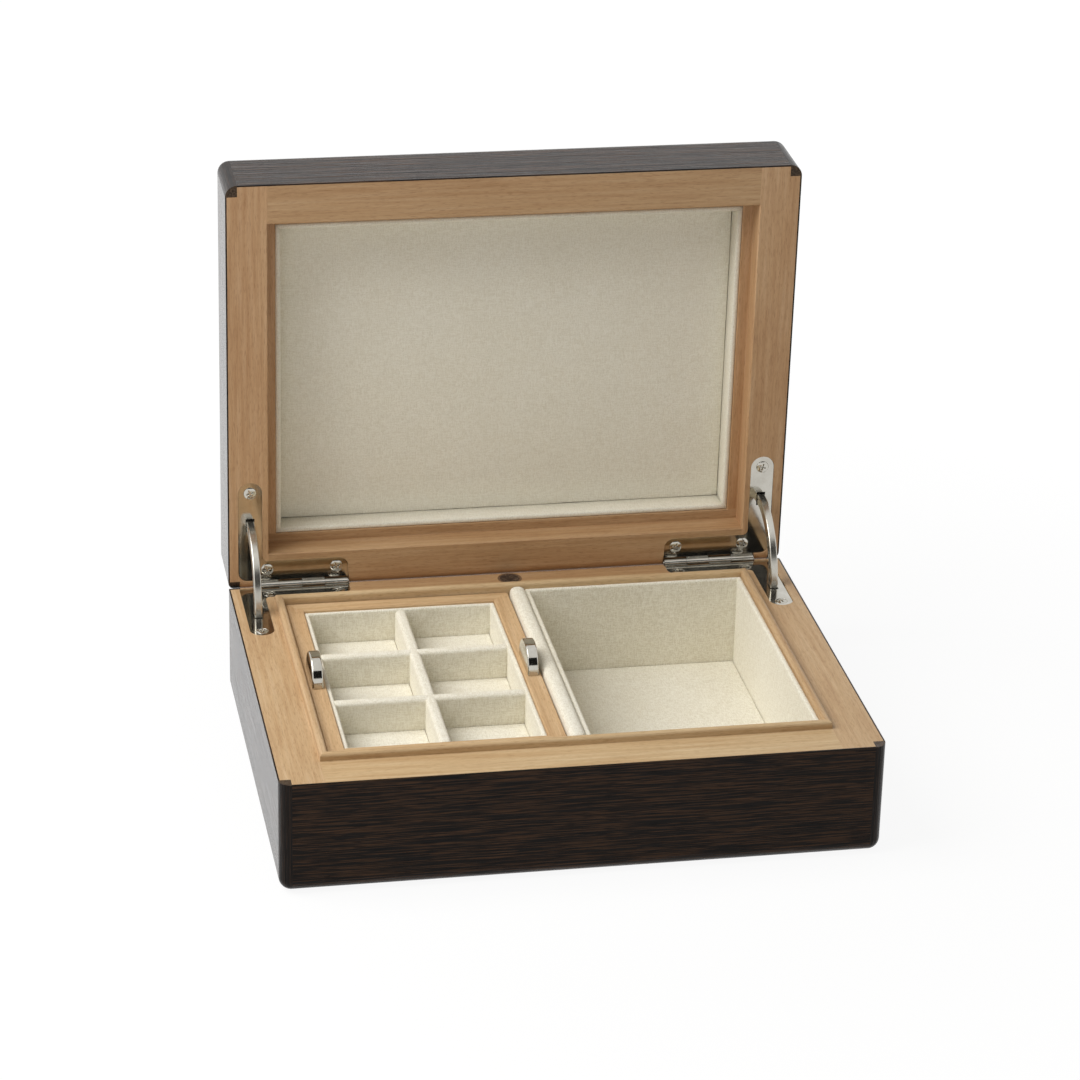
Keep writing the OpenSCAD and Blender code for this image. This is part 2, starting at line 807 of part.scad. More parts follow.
module tray_rail(corners) {
    color(light_wood) in_base() difference() {
        translate([0, 0, tray_bot]) linear_extrude(tray_h) intersection() {
            tray_plan();
            polygon(corners);
        }
        block([tray_l + rail_w - tray_groove, tray_f + rail_w - tray_groove, tray_floor_z - tray_floor_t],
            [tray_r - rail_w + tray_groove, tray_b - rail_w + tray_groove, tray_floor_z]);
        // broken edges inside and outside
        flare(tray_l + rail_w, tray_f + rail_w, tray_r - rail_w, tray_b - rail_w,
            tray_top - wood_break, tray_top + eps, wood_break);
        difference() {
            block([tray_l - 1, tray_f - 1, tray_top - wood_break], [tray_r + 1, tray_b + 1, tray_top + 1]);
            flare(tray_l, tray_f, tray_r, tray_b, tray_top - wood_break, tray_top + 2,
                -wood_break - 2);
        }
        for (x = [tray_l + rail_w / 2, tray_r - rail_w / 2], s = [-1, 1])
            translate([x, box_d / 2 + s * tab_pin_pitch / 2, tray_top - tab_pin_h - 0.3])
            cylinder(r = tab_pin_r + 0.05, h = tab_pin_h + 1);
    }
}

module tray_front_rail() {
    tray_rail([[tray_l, tray_f], [tray_r, tray_f],
        [tray_r - rail_w, tray_f + rail_w], [tray_l + rail_w, tray_f + rail_w]]);
}

module tray_back_rail() {
    tray_rail([[tray_l, tray_b], [tray_r, tray_b],
        [tray_r - rail_w, tray_b - rail_w], [tray_l + rail_w, tray_b - rail_w]]);
}

module tray_left_rail() {
    tray_rail([[tray_l, tray_f], [tray_l, tray_b],
        [tray_l + rail_w, tray_b - rail_w], [tray_l + rail_w, tray_f + rail_w]]);
}

module tray_right_rail() {
    tray_rail([[tray_r, tray_f], [tray_r, tray_b],
        [tray_r - rail_w, tray_b - rail_w], [tray_r - rail_w, tray_f + rail_w]]);
}

module tray_floor() {
    g = rail_w - tray_groove + 0.05;
    color(light_wood) in_base()
        block([tray_l + g, tray_f + g, tray_floor_z - tray_floor_t],
            [tray_r - g, tray_b - g, tray_floor_z]);
}

module tray_lining_boards() {
    x0 = tray_l + rail_w;
    x1 = tray_r - rail_w;
    y0 = tray_f + rail_w;
    y1 = tray_b - rail_w;
    g = 0.05;
    r = lining_t / 2 - 0.15;
    color(cream) in_base() {
        board_y([x0, y0, tray_floor_z], [in_l, y1, lining_top], r);
        board_y([in_r, y0, tray_floor_z], [x1, y1, lining_top], r);
        board_x([in_l + g, y0, tray_floor_z], [in_r - g, in_f, lining_top], r);
        board_x([in_l + g, in_b, tray_floor_z], [in_r - g, y1, lining_top], r);
    }
}

// The dividers are halved together where they cross
module tray_long_divider() {
    mid_z = (tray_floor_z + lining_top) / 2;
    g = 0.05;
    color(cream) in_base() difference() {
        for (i = [1 : cells_x - 1]) {
            x = in_l + i * cell_w + (i - 1) * cell_wall_t;
            board_y([x, in_f + g, tray_floor_z], [x + cell_wall_t, in_b - g, lining_top], cell_wall_round);
        }
        for (j = [1 : cells_y - 1]) {
            y = in_f + j * cell_d + (j - 1) * cell_wall_t;
            block([in_l, y - g, mid_z], [in_r, y + cell_wall_t + g, 1]);
        }
    }
}

module tray_cross_dividers() {
    mid_z = (tray_floor_z + lining_top) / 2;
    g = 0.05;
    color(cream) in_base() difference() {
        for (j = [1 : cells_y - 1]) {
            y = in_f + j * cell_d + (j - 1) * cell_wall_t;
            board_x([in_l + g, y, tray_floor_z], [in_r - g, y + cell_wall_t, lining_top], cell_wall_round);
        }
        for (i = [1 : cells_x - 1]) {
            x = in_l + i * cell_w + (i - 1) * cell_wall_t;
            block([x - g, in_f, tray_floor_z - 1], [x + cell_wall_t + g, in_b, mid_z + g]);
        }
    }
}

module tray_cell_pads() {
    g = 0.1;
    color(cream) in_base()
    for (i = [0 : cells_x - 1], j = [0 : cells_y - 1])
        translate([in_l + i * (cell_w + cell_wall_t), in_f + j * (cell_d + cell_wall_t), 0])
        soft_pad(g, g, cell_w - g, cell_d - g, tray_floor_z, cell_pad_t);
}

// Half-moon lifting tab with bevelled rims and two pins into the rail
module tray_tab(x) {
    color(nickel) in_base() translate([x, box_d / 2, tray_top]) {
        intersection() {
            rotate([0, 90, 0]) union() {
                cylinder(r = tab_r, h = tab_t - 2 * tab_bevel, center = true, $fn = 96);
                for (s = [-1, 1]) translate([0, 0, s * (tab_t / 2 - tab_bevel / 2)])
                    cylinder(r1 = tab_r - (s < 0 ? tab_bevel : 0), r2 = tab_r - (s > 0 ? tab_bevel : 0),
                        h = tab_bevel, center = true, $fn = 96);
            }
            translate([-tab_t, -tab_r - 1, 0]) cube([2 * tab_t, 2 * tab_r + 2, tab_r + 1]);
        }
        for (s = [-1, 1]) translate([0, s * tab_pin_pitch / 2, -tab_pin_h])
            cylinder(r = tab_pin_r, h = tab_pin_h + 1);
    }
}

module tray_left_tab() {
    tray_tab(tray_l + rail_w / 2);
}

module tray_right_tab() {
    tray_tab(tray_r - rail_w / 2);
}

base_front_wall();
base_back_wall();
base_left_wall();
base_right_wall();
base_bottom_panel();
base_felt();
base_bottom_beads();
base_corner_beads();
base_front_veneer();
base_back_veneer();
base_left_veneer();
base_right_veneer();
lip_front();
lip_back();
lip_left();
lip_right();
rim_inlay();
padded_divider();
well_boards();
well_floor_pad();
tray_ledge_boards();
lower_floor_pad();
base_leaf_left();
base_leaf_right();
base_leaf_screws();
hinge_pins();
lid_front_rail();
lid_back_rail();
lid_left_rail();
lid_right_rail();
lid_core_panel();
lid_top_veneer();
lid_top_beads();
lid_corner_beads();
lid_front_veneer();
lid_back_veneer();
lid_left_veneer();
lid_right_veneer();
lid_lining_strips();
lid_lining_pad();
lid_leaf_left();
lid_leaf_right();
lid_leaf_screws();
stay_left();
stay_left_studs();
stay_right();
stay_right_studs();
tray_front_rail();
tray_back_rail();
tray_left_rail();
tray_right_rail();
tray_floor();
tray_lining_boards();
tray_long_divider();
tray_cross_dividers();
tray_cell_pads();
tray_left_tab();
tray_right_tab();
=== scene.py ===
"""Looks of the cufflink display box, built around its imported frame. Metres, +Z up."""
import json
import math

import bmesh
import bpy
import numpy as np
from mathutils import Matrix, Vector, noise


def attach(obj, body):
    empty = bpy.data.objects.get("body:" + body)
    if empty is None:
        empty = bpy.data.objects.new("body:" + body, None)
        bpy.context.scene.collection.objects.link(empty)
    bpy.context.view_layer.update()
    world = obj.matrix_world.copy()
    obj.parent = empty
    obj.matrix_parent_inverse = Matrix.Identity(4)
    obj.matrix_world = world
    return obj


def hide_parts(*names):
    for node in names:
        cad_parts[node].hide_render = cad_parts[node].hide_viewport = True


MM = 0.001
OPEN_DEG = 88.5  # angle of the lid in the modelled pose
RIM_GAP = 0.2 * MM
KNUCKLE_R = 1.7 * MM  # just over the radius of the hinge knuckles
INLAY_EDGE_R = 3.9 * MM  # where the inlay's paler edge starts
BEAD_TURN_X = 105.5 * MM  # |x| beyond which a ring of beads runs along the sides

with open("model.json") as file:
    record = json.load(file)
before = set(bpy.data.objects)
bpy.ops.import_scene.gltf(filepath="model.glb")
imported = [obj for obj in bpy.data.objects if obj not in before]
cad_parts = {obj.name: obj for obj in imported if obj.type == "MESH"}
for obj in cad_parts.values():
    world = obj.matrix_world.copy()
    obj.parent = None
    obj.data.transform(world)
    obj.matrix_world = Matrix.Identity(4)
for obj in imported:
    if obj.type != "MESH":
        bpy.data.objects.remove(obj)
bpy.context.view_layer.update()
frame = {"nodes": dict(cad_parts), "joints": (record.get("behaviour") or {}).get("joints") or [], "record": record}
nodes = frame["nodes"]
bodies = frame["record"]["behaviour"]["bodies"]
body_of = {n: b for b, members in bodies.items() for n in members}
slot_of = {s["node"]: s["material_slot"] for s in frame["record"]["subparts"]}
hinge = next(j for j in frame["joints"] if j["name"] == "lid_hinge")
PIN = Vector(hinge["pos_m"])
RIM_Z = PIN.z - RIM_GAP / 2

# From the lid's own frame (as if shut, z from its rim) to its place in the open pose
LID = (
    Matrix.Translation(PIN)
    @ Matrix.Rotation(math.radians(-OPEN_DEG), 4, "X")
    @ Matrix.Translation(-PIN)
    @ Matrix.Translation((0, 0, RIM_Z + RIM_GAP))
)
BASE = Matrix.Translation((0, 0, RIM_Z))


def frame_of(node):
    return LID if body_of[node] == "lid" else BASE


# ---- Camera -------------------------------------------------------------
# Solved on the edges of the box, in millimetres from its left front rim corner
FRAME_PX = 1080
CAM_F_PX = 3756.2
CAM_ROTVEC = Vector((1.98998015, -0.167268280, 0.140804950))
CAM_AT_MM = Vector((-135.520, -1155.269, 619.679))
CORNER_MM = Vector((110.0, 84.0, 0.0))
SENSOR_MM = 36
CLIP_M = (0.05, 50)


def make_camera():
    turn = Matrix.Rotation(CAM_ROTVEC.length, 3, CAM_ROTVEC.normalized())
    right, down, ahead = (Vector(row) for row in turn)
    data = bpy.data.cameras.new("camera")
    data.sensor_width = SENSOR_MM
    data.lens = CAM_F_PX * SENSOR_MM / FRAME_PX
    data.clip_start, data.clip_end = CLIP_M
    cam = bpy.data.objects.new("camera", data)
    bpy.context.scene.collection.objects.link(cam)
    axes = Matrix((right, -down, -ahead)).transposed().to_4x4()
    at = (CAM_AT_MM - CORNER_MM) * MM + Vector((0, 0, RIM_Z))
    cam.matrix_world = Matrix.Translation(at) @ axes
    bpy.context.scene.camera = cam


make_camera()


# ---- Node trees ---------------------------------------------------------
# The Mix node has sockets of its own for each kind of value
COLOUR_A, COLOUR_B, COLOUR_OUT = 6, 7, 2
VECTOR_A, VECTOR_B, VECTOR_OUT = 4, 5, 1


def srgb(r, g, b):
    """Linear colour of an 8-bit display colour."""
    out = []
    for v in (r, g, b):
        v /= 255
        out.append(v / 12.92 if v <= 0.04045 else ((v + 0.055) / 1.055) ** 2.4)
    return (*out, 1.0)


class Tree:
    """Short names for building a node tree, which starts empty."""

    def __init__(self, tree):
        self.tree = tree
        tree.nodes.clear()

    def new(self, kind, **settings):
        n = self.tree.nodes.new("ShaderNode" + kind)
        for name, value in settings.items():
            setattr(n, name, value)
        return n

    def link(self, a, b):
        self.tree.links.new(a, b)

    def put(self, socket, value):
        if isinstance(value, bpy.types.NodeSocket):
            self.link(value, socket)
        else:
            socket.default_value = value

    def math(self, op, a, b=0.0):
        n = self.new("Math", operation=op)
        self.put(n.inputs[0], a)
        self.put(n.inputs[1], b)
        return n.outputs[0]

    def length(self, vector):
        n = self.new("VectorMath", operation="LENGTH")
        self.link(vector, n.inputs[0])
        return n.outputs["Value"]


class Material(Tree):
    """A material with one Principled shader, fed with colours, roughness and bumps."""

    def __init__(self, name):
        self.mat = bpy.data.materials.new(name)
        self.mat.use_nodes = True
        super().__init__(self.mat.node_tree)
        out = self.new("OutputMaterial")
        self.bsdf = self.new("BsdfPrincipled")
        self.link(self.bsdf.outputs["BSDF"], out.inputs["Surface"])
        place = self.new("TexCoord")
        self.coord, self.facing = place.outputs["Object"], place.outputs["Normal"]

    def scaled(self, vector, scale, offset=(0, 0, 0)):
        n = self.new("Mapping")
        self.link(vector, n.inputs["Vector"])
        n.inputs["Scale"].default_value = scale
        n.inputs["Location"].default_value = offset
        return n.outputs["Vector"]

    def axis(self, vector, name):
        n = self.new("SeparateXYZ")
        self.link(vector, n.inputs[0])
        return n.outputs[name]

    def noise(self, vector, scale=1.0, detail=2.0, rough=0.5, distort=0.0):
        n = self.new("TexNoise")
        self.link(vector, n.inputs["Vector"])
        n.inputs["Scale"].default_value = scale
        n.inputs["Detail"].default_value = detail
        n.inputs["Roughness"].default_value = rough
        n.inputs["Distortion"].default_value = distort
        return n.outputs["Fac"]

    def ramp(self, fac, stops):
        """Colour ramp through linear colours: (position, (r, g, b))."""
        n = self.new("ValToRGB")
        self.link(fac, n.inputs["Fac"])
        e = n.color_ramp.elements
        while len(e) > 1:
            e.remove(e[-1])
        e[0].position, e[0].color = stops[0][0], (*stops[0][1], 1)
        for at, colour in stops[1:]:
            e.new(at).color = (*colour, 1)
        return n.outputs["Color"]

    def colours(self, fac, stops):
        """Colour ramp through 8-bit display colours."""
        return self.ramp(fac, [(at, srgb(*rgb)[:3]) for at, rgb in stops])

    def shade(self, fac, lo, hi, factor):
        """A factor for a colour, which rises from the given one to 1 as fac goes from lo to hi."""
        return self.ramp(fac, [(lo, factor), (hi, (1, 1, 1))])

    def grey(self, span, fac):
        """A value that goes from the first of span to the second as fac goes from 0 to 1."""
        return self.ramp(fac, [(i, (v, v, v)) for i, v in enumerate(span)])

    def mix(self, fac, a, b, blend="MIX"):
        n = self.new("Mix", data_type="RGBA", blend_type=blend)
        self.put(n.inputs["Factor"], fac)
        self.put(n.inputs[COLOUR_A], a)
        self.put(n.inputs[COLOUR_B], b)
        return n.outputs[COLOUR_OUT]

    def relief(self, *layers):
        """Bumps laid one over the other: (height, strength, distance)."""
        normal = None
        for height, strength, distance in layers:
            n = self.new("Bump")
            n.inputs["Strength"].default_value = strength
            n.inputs["Distance"].default_value = distance
            self.link(height, n.inputs["Height"])
            if normal is not None:
                self.link(normal, n.inputs["Normal"])
            normal = n.outputs["Normal"]
        return normal

    def surface(self, colour, rough, normal, constants):
        """Feeds the shader and gives its other inputs their constants."""
        self.link(colour, self.bsdf.inputs["Base Color"])
        self.link(rough, self.bsdf.inputs["Roughness"])
        self.link(normal, self.bsdf.inputs["Normal"])
        for name, value in constants.items():
            self.bsdf.inputs[name].default_value = value
        return self.mat


def along(axis, run, across):
    """Mapping scale whose features run along one axis, counted per metre."""
    return tuple(run if a == axis else across for a in "XYZ")


def spread(seed):
    """Offset that gives each board its own piece of the noise."""
    return (seed, seed * 0.7, seed * 1.3)


# ---- Materials ----------------------------------------------------------
# Colours as (position in the noise, 8-bit colour), and factors as linear colours
WOOD_BROAD = ((0.30, (203, 165, 121)), (0.52, (214, 179, 135)), (0.72, (222, 191, 150)))
WOOD_LINES = ((0.30, (188, 147, 104)), (0.50, (214, 180, 137)), (0.70, (230, 202, 164)))
WOOD_PORE = (0.62, 0.52, 0.43)
WOOD_FIBRE = (0.84, 0.82, 0.80)
WENGE_DARK = ((0.3, (16, 13, 11)), (0.7, (28, 22, 19)))
WENGE_BROWN = ((0.3, (50, 35, 24)), (0.7, (76, 53, 36)))
WENGE_END = ((0.3, (48, 37, 29)), (0.7, (92, 76, 61)))
WENGE_PORE = (0.30, 0.27, 0.25)
CLOTH_MOTTLE = ((0.32, (215, 208, 187)), (0.50, (237, 232, 215)), (0.68, (249, 247, 235)))
CLOTH_NAP = ((0.3, (219, 212, 192)), (0.7, (249, 246, 233)))
CLOTH_THREADS = ((0.42, (205, 197, 174)), (0.57, (251, 249, 237)))
CLOTH_CLOUD = ((0.35, (226, 217, 198)), (0.65, (246, 243, 236)))
CLOTH_SHEEN = (250, 246, 236)
OFF_WHITE = (255, 252, 238)
NICKEL_TONE = ((0.3, (183, 179, 169)), (0.7, (199, 196, 187)))
FELT_FUZZ = ((0.3, (46, 38, 33)), (0.7, (88, 76, 66)))
FELT_CLOUD = ((0.3, (50, 42, 36)), (0.7, (80, 70, 60)))
INLAY_CENTRE = ((0.36, (26, 21, 18)), (0.52, (58, 47, 40)), (0.66, (128, 108, 90)))
INLAY_EDGE = ((0.3, (84, 64, 46)), (0.7, (132, 104, 78)))

# Indices of refraction. A lower one gives a weaker shine
WOOD_IOR = 1.42
WENGE_IOR = 1.26
WENGE_FRONT_IOR = 1.20
WENGE_BEAD_IOR = 1.22
CLOTH_IOR = 1.35

# Roughness, from the smoothest to the roughest spot
WOOD_ROUGH = (0.40, 0.56)
WENGE_ROUGH = (0.10, 0.34)
CLOTH_ROUGH = (0.86, 0.98)
POLISHED = (0.05, 0.14)
SATIN_ROUGH = (0.20, 0.30)
KNUCKLE_DULL = 0.14
FELT_ROUGH = (0.88, 1.0)
INLAY_ROUGH = (0.35, 0.55)


def light_wood(axis, where, tone_and_shade, seed):
    """Pale straight-grained wood. where names its boards. The factor for its colour also paints in light and shade
    for the lid's boards and the back wall.
    """
    m = Material(f"light_wood_{where}_{axis}")

    def grain(run, across, *settings):
        return m.noise(m.scaled(m.coord, along(axis, run, across), spread(seed)), 1, *settings)

    wide = grain(5, 70, 2, 0.5, 0.4)
    line = grain(22, 620, 3, 0.55, 0.15)
    fibre = grain(120, 3200, 2, 0.6)
    pore = grain(330, 4200, 1, 0.4)
    colour = m.mix(0.5, m.colours(wide, WOOD_BROAD), m.colours(line, WOOD_LINES))
    colour = m.mix(0.45, colour, m.shade(pore, 0.34, 0.42, WOOD_PORE), "MULTIPLY")
    colour = m.mix(0.9, colour, m.shade(fibre, 0.25, 0.75, WOOD_FIBRE), "MULTIPLY")
    colour = m.mix(1.0, colour, (*tone_and_shade, 1), "MULTIPLY")
    bumps = m.relief((fibre, 0.12, 0.2 * MM), (pore, 0.10, 0.2 * MM))
    return m.surface(colour, m.grey(WOOD_ROUGH, line), bumps, {"IOR": WOOD_IOR})


def wenge(axis, seed, ior=WENGE_IOR, turned=None, plain=0.0, rough=WENGE_ROUGH, height=1.0):
    """Dark open-grained wood. Beyond |x| = BEAD_TURN_X its grain turns to the axis turned.
    plain (0 to 1) fades the brown streaks, and height scales the bumps."""
    m = Material(f"wenge_{axis}{'_' + turned if turned else ''}_{seed:g}")
    beyond = None
    if turned:
        beyond = m.math("GREATER_THAN", m.math("ABSOLUTE", m.axis(m.coord, "X")), BEAD_TURN_X)

    def grain(run, across, *settings):
        at = m.scaled(m.coord, along(axis, run, across), spread(seed))
        if turned:
            n = m.new("Mix", data_type="VECTOR")
            m.put(n.inputs["Factor"], beyond)
            m.link(at, n.inputs[VECTOR_A])
            beside = m.scaled(m.coord, along(turned, run, across), spread(seed))
            m.link(beside, n.inputs[VECTOR_B])
            at = n.outputs[VECTOR_OUT]
        return m.noise(at, 1, *settings)

    wide = grain(6, 60, 2, 0.5, 0.3)
    band = grain(24, 430, 2, 0.5, 0.3)
    streak = grain(36, 2000, 2.5, 0.6, 0.25)
    fine = grain(70, 2600, 2, 0.5)
    pore = grain(120, 2500, 1, 0.5)
    # brown streaks on the dark ground, closer together in some places than in others
    crowd = m.math("MULTIPLY", m.math("SUBTRACT", wide, 0.5), 0.11)
    shown = (1 - plain,) * 3
    streaks = m.ramp(m.math("ADD", streak, crowd), [(0.480, (0, 0, 0)), (0.545, shown)])
    colour = m.mix(streaks, m.colours(fine, WENGE_DARK), m.colours(fine, WENGE_BROWN))
    colour = m.mix(0.9, colour, m.shade(pore, 0.36, 0.45, WENGE_PORE), "MULTIPLY")
    if plain:
        # the end grain of a bead is paler than its sides
        end = m.math("GREATER_THAN", m.math("ABSOLUTE", m.axis(m.facing, axis)), 0.9)
        colour = m.mix(end, colour, m.colours(m.noise(m.coord, 1500, 2, 0.6), WENGE_END))
    bumps = m.relief((pore, 0.60 * height, 0.2 * MM), (band, 0.90 * height, 0.3 * MM),
                     (streak, 0.40 * height, 0.3 * MM))
    polish = m.grey(rough, m.math("MULTIPLY", m.math("ADD", fine, band), 0.5))
    return m.surface(colour, polish, bumps, {"IOR": ior})


def cream_cloth(name, painted_light):
    """Woven cloth. Its second argument (0 to 1) lifts its colours towards off-white, which paints light onto the
    cloth.
    """
    m = Material(name)

    def lifted(fac, stops):
        return m.colours(fac, [(at, [v + (top - v) * painted_light for v, top in zip(rgb, OFF_WHITE)])
                               for at, rgb in stops])

    runs = [m.noise(m.scaled(m.coord, along(a, 420, 2700)), 1, 1, 0.5) for a in "XYZ"]
    threads = m.math("MULTIPLY", m.math("ADD", m.math("ADD", runs[0], runs[1]), runs[2]), 1 / 3)
    mottle = m.noise(m.coord, 2300, 2, 0.6)
    nap = m.noise(m.coord, 6500, 2, 0.6)
    cloud = m.noise(m.coord, 35, 2, 0.5)
    colour = m.mix(0.35, lifted(mottle, CLOTH_MOTTLE), lifted(nap, CLOTH_NAP))
    colour = m.mix(0.45, colour, lifted(threads, CLOTH_THREADS))
    colour = m.mix(0.12, colour, lifted(cloud, CLOTH_CLOUD))
    bumps = m.relief((threads, 0.6, 0.30 * MM), (nap, 0.35, 0.12 * MM), (mottle, 0.45, 0.25 * MM))
    return m.surface(colour, m.grey(CLOTH_ROUGH, nap), bumps, {
        "IOR": CLOTH_IOR,
        "Sheen Weight": 0.25,
        "Sheen Roughness": 0.45,
        "Sheen Tint": srgb(*CLOTH_SHEEN),
    })


def nickel(name, rough):
    """Nickel plate. The knuckles round the hinge pin are less polished than the rest."""
    m = Material(name)
    smudge = m.noise(m.coord, 160, 3, 0.6)
    hair = m.noise(m.scaled(m.coord, (900, 6000, 2500)), 1, 2, 0.6)
    off_pin = m.length(m.scaled(m.coord, (0, 1, 1), (0, -PIN.y, -PIN.z)))
    dull = m.math("MULTIPLY", m.math("LESS_THAN", off_pin, KNUCKLE_R), KNUCKLE_DULL)
    polish = m.math("ADD", m.grey(rough, smudge), dull)
    bumps = m.relief((hair, 0.02, 0.1 * MM))
    return m.surface(m.colours(smudge, NICKEL_TONE), polish, bumps, {"Metallic": 1.0})


def felt():
    m = Material("dark_felt")
    fuzz = m.noise(m.coord, 2600, 4, 0.7)
    cloud = m.noise(m.coord, 60, 3, 0.6)
    colour = m.mix(0.2, m.colours(fuzz, FELT_FUZZ), m.colours(cloud, FELT_CLOUD))
    bumps = m.relief((fuzz, 0.6, 0.5 * MM))
    return m.surface(colour, m.grey(FELT_ROUGH, cloud), bumps, {"Sheen Weight": 0.4})


def inlay(node):
    """A dark mottled disc with a paler edge."""
    m = Material("inlay_end_grain")
    corners = [Vector(c) for c in nodes[node].bound_box]
    middle = (corners[0] + corners[6]) / 2
    out = m.length(m.scaled(m.coord, (1, 1, 0), (-middle.x, -middle.y, 0)))
    speck = m.noise(m.coord, 1100, 3, 0.65)
    colour = m.mix(m.math("GREATER_THAN", out, INLAY_EDGE_R),
                   m.colours(speck, INLAY_CENTRE), m.colours(speck, INLAY_EDGE))
    return m.surface(colour, m.grey(INLAY_ROUGH, speck), m.relief((speck, 0.4, 0.3 * MM)), {})


NICKEL = nickel("polished_nickel", POLISHED)
FELT = felt()
INLAY = inlay(next(n for n in nodes if slot_of[n] == "inlay_wood"))
SATIN = nickel("satin_nickel", SATIN_ROUGH)
CLOTH = cream_cloth("cream_cloth", 0.0)
# A lighter copy of the same cloth for the lid: painted light on the lid's lining
LID_CLOTH_PAINTED_LIGHT = cream_cloth("cream_cloth_lid_painted_light", 0.34)

# Colour factors of the rails. The base's and the tray's differ a little, as pieces cut from different boards do.
# The lid's are darker and redder, and the redness is painted warm light bounced onto the open lid. The back wall's
# darker factor is painted shade from the open lid.
WOOD_TONE_AND_SHADE = {
    ("base", "X"): (0.92, 0.97, 0.98), ("base", "Y"): (0.86, 0.87, 0.88),
    # The lid's boards are darker and redder; the redness is painted warm light bounced onto the open lid
    ("lid", "X"): (0.81, 0.76, 0.73), ("lid", "Z"): (0.88, 0.81, 0.79),
    ("tray", "X"): (0.95, 0.97, 0.98), ("tray", "Y"): (0.96, 0.97, 0.98),
    # The back wall's darker factor is painted shade, where the open lid shades the back rim
    ("back", "X"): (0.74, 0.69, 0.65),
}
LIGHT = {
    (where, axis): light_wood(axis, where, tone_and_shade, i * 3.7)
    for i, ((where, axis), tone_and_shade) in enumerate(WOOD_TONE_AND_SHADE.items())
}
# The sides are seen at a flat angle, where rough wood would lose the glare
DARK = {
    "X": wenge("X", 0.0),
    "Y": wenge("Y", 2.9, rough=(0.08, 0.26), height=0.8),
    "Z": wenge("Z", 5.8, rough=(0.04, 0.14), height=0.4),
}
DARK_FRONT = wenge("X", 4.4, WENGE_FRONT_IOR)
DARK_CORNER = {
    "Y": wenge("Y", 6.2, WENGE_BEAD_IOR, plain=0.7),
    "Z": wenge("Z", 7.2, WENGE_BEAD_IOR, plain=0.7),
}
DARK_NODE = {
    "base_front_veneer": DARK_FRONT,
    "base_bottom_beads": wenge("X", 8.1, WENGE_BEAD_IOR, "Y"),
    "lid_top_beads": wenge("X", 9.3, turned="Z"),
}


# ---- Materials on the CAD nodes ----------------------------------------
STAYS = ("stay_left", "stay_right")
# Width of the rounded edges
LEAF_EDGE = 0.45 * MM
GRIP_EDGE = 0.22 * MM
SMALL_EDGE = 0.12 * MM
EDGE_SEGMENTS = 2
EDGE_DEG = 28  # the least angle that is an edge
WELD_WITHIN = 0.002 * MM
FLAT_DEG = 1.5
NORMAL_WEIGHT = 80


def paint(obj, mat):
    obj.data.materials.clear()
    obj.data.materials.append(mat)
    for poly in obj.data.polygons:
        poly.material_index = 0


def ease_edges(obj, width):
    """Fine rounded edges, which catch the light. The mesh underneath stays as it is."""
    weld = obj.modifiers.new("weld", "WELD")
    weld.merge_threshold = WELD_WITHIN
    flat = obj.modifiers.new("flat", "DECIMATE")
    flat.decimate_type = "DISSOLVE"
    flat.angle_limit = math.radians(FLAT_DEG)
    bevel = obj.modifiers.new("bevel", "BEVEL")
    bevel.width = width
    bevel.segments = EDGE_SEGMENTS
    bevel.limit_method = "ANGLE"
    bevel.angle_limit = math.radians(EDGE_DEG)
    bevel.use_clamp_overlap = True
    normals = obj.modifiers.new("normals", "WEIGHTED_NORMAL")
    normals.weight = NORMAL_WEIGHT


def edge_of(node):
    if "_leaf_" in node and "screws" not in node:
        return LEAF_EDGE
    return GRIP_EDGE if node.endswith("_tab") or node in STAYS else SMALL_EDGE


def grain_of(node):
    """Axis along which a wooden node's grain runs in the open pose."""
    if "corner" in node:
        return "Y" if node.startswith("lid") else "Z"
    if "left" in node or "right" in node:
        return "Z" if node.startswith("lid") else "Y"
    return "X"


def material_of(node):
    kind = slot_of[node]
    if kind == "light_wood":
        # The back wall gets its own darker copy of the wood: painted shade from the open lid
        board = "back" if node == "base_back_wall" else body_of[node]
        return LIGHT[board, grain_of(node)]
    if kind == "dark_veneer":
        beads = DARK_CORNER if "corner" in node else DARK
        return DARK_NODE.get(node, beads[grain_of(node)])
    if kind == "nickel":
        return SATIN if node in STAYS else NICKEL
    return {"felt": FELT, "inlay_wood": INLAY}.get(kind, CLOTH)


for name, obj in nodes.items():
    paint(obj, material_of(name))
    if slot_of[name] == "nickel":
        ease_edges(obj, edge_of(name))


# ---- Soft pieces --------------------------------------------------------
SAME_POINT = 0.001 * MM
TINY = 1e-9
STEP = 2.5 * MM  # about the size of a face on a soft piece
ROUND_DEG = (45, 30, 15)  # angles at which a rounded edge is cut, from its middle to a face
WOBBLE_PER_M = 55  # how close together the unevenness of a soft piece is
NOISE_SEED = 1
noise.seed_set(NOISE_SEED)  # the clock seeds it otherwise, and each run would differ


def islands(node):
    """Boxes of a node's separate solids, in its half's own frame."""
    back = frame_of(node).inverted()
    bm = bmesh.new()
    bm.from_mesh(nodes[node].data)
    bmesh.ops.remove_doubles(bm, verts=bm.verts, dist=SAME_POINT)
    left, boxes = set(bm.verts), []
    while left:
        todo, seen = [left.pop()], []
        while todo:
            v = todo.pop()
            seen.append(back @ v.co)
            for e in v.link_edges:
                w = e.other_vert(v)
                if w in left:
                    left.remove(w)
                    todo.append(w)
        co = np.array(seen)
        boxes.append((Vector(co.min(0)), Vector(co.max(0))))
    bm.free()
    return sorted(boxes, key=lambda b: tuple(round(c, 5) for c in b[0]))


def ticks(lo, hi, r, step):
    """Grid lines along a side of a block: fine in the rounded edges, about step apart between."""
    turn = [r * math.tan(math.radians(a)) for a in ROUND_DEG]
    mid = max(1, round((hi - lo - 2 * r) / step))
    inner = [lo + r + (hi - lo - 2 * r) * i / mid for i in range(mid + 1)]
    return [lo + r - t for t in turn] + inner + [hi - r + t for t in reversed(turn)]


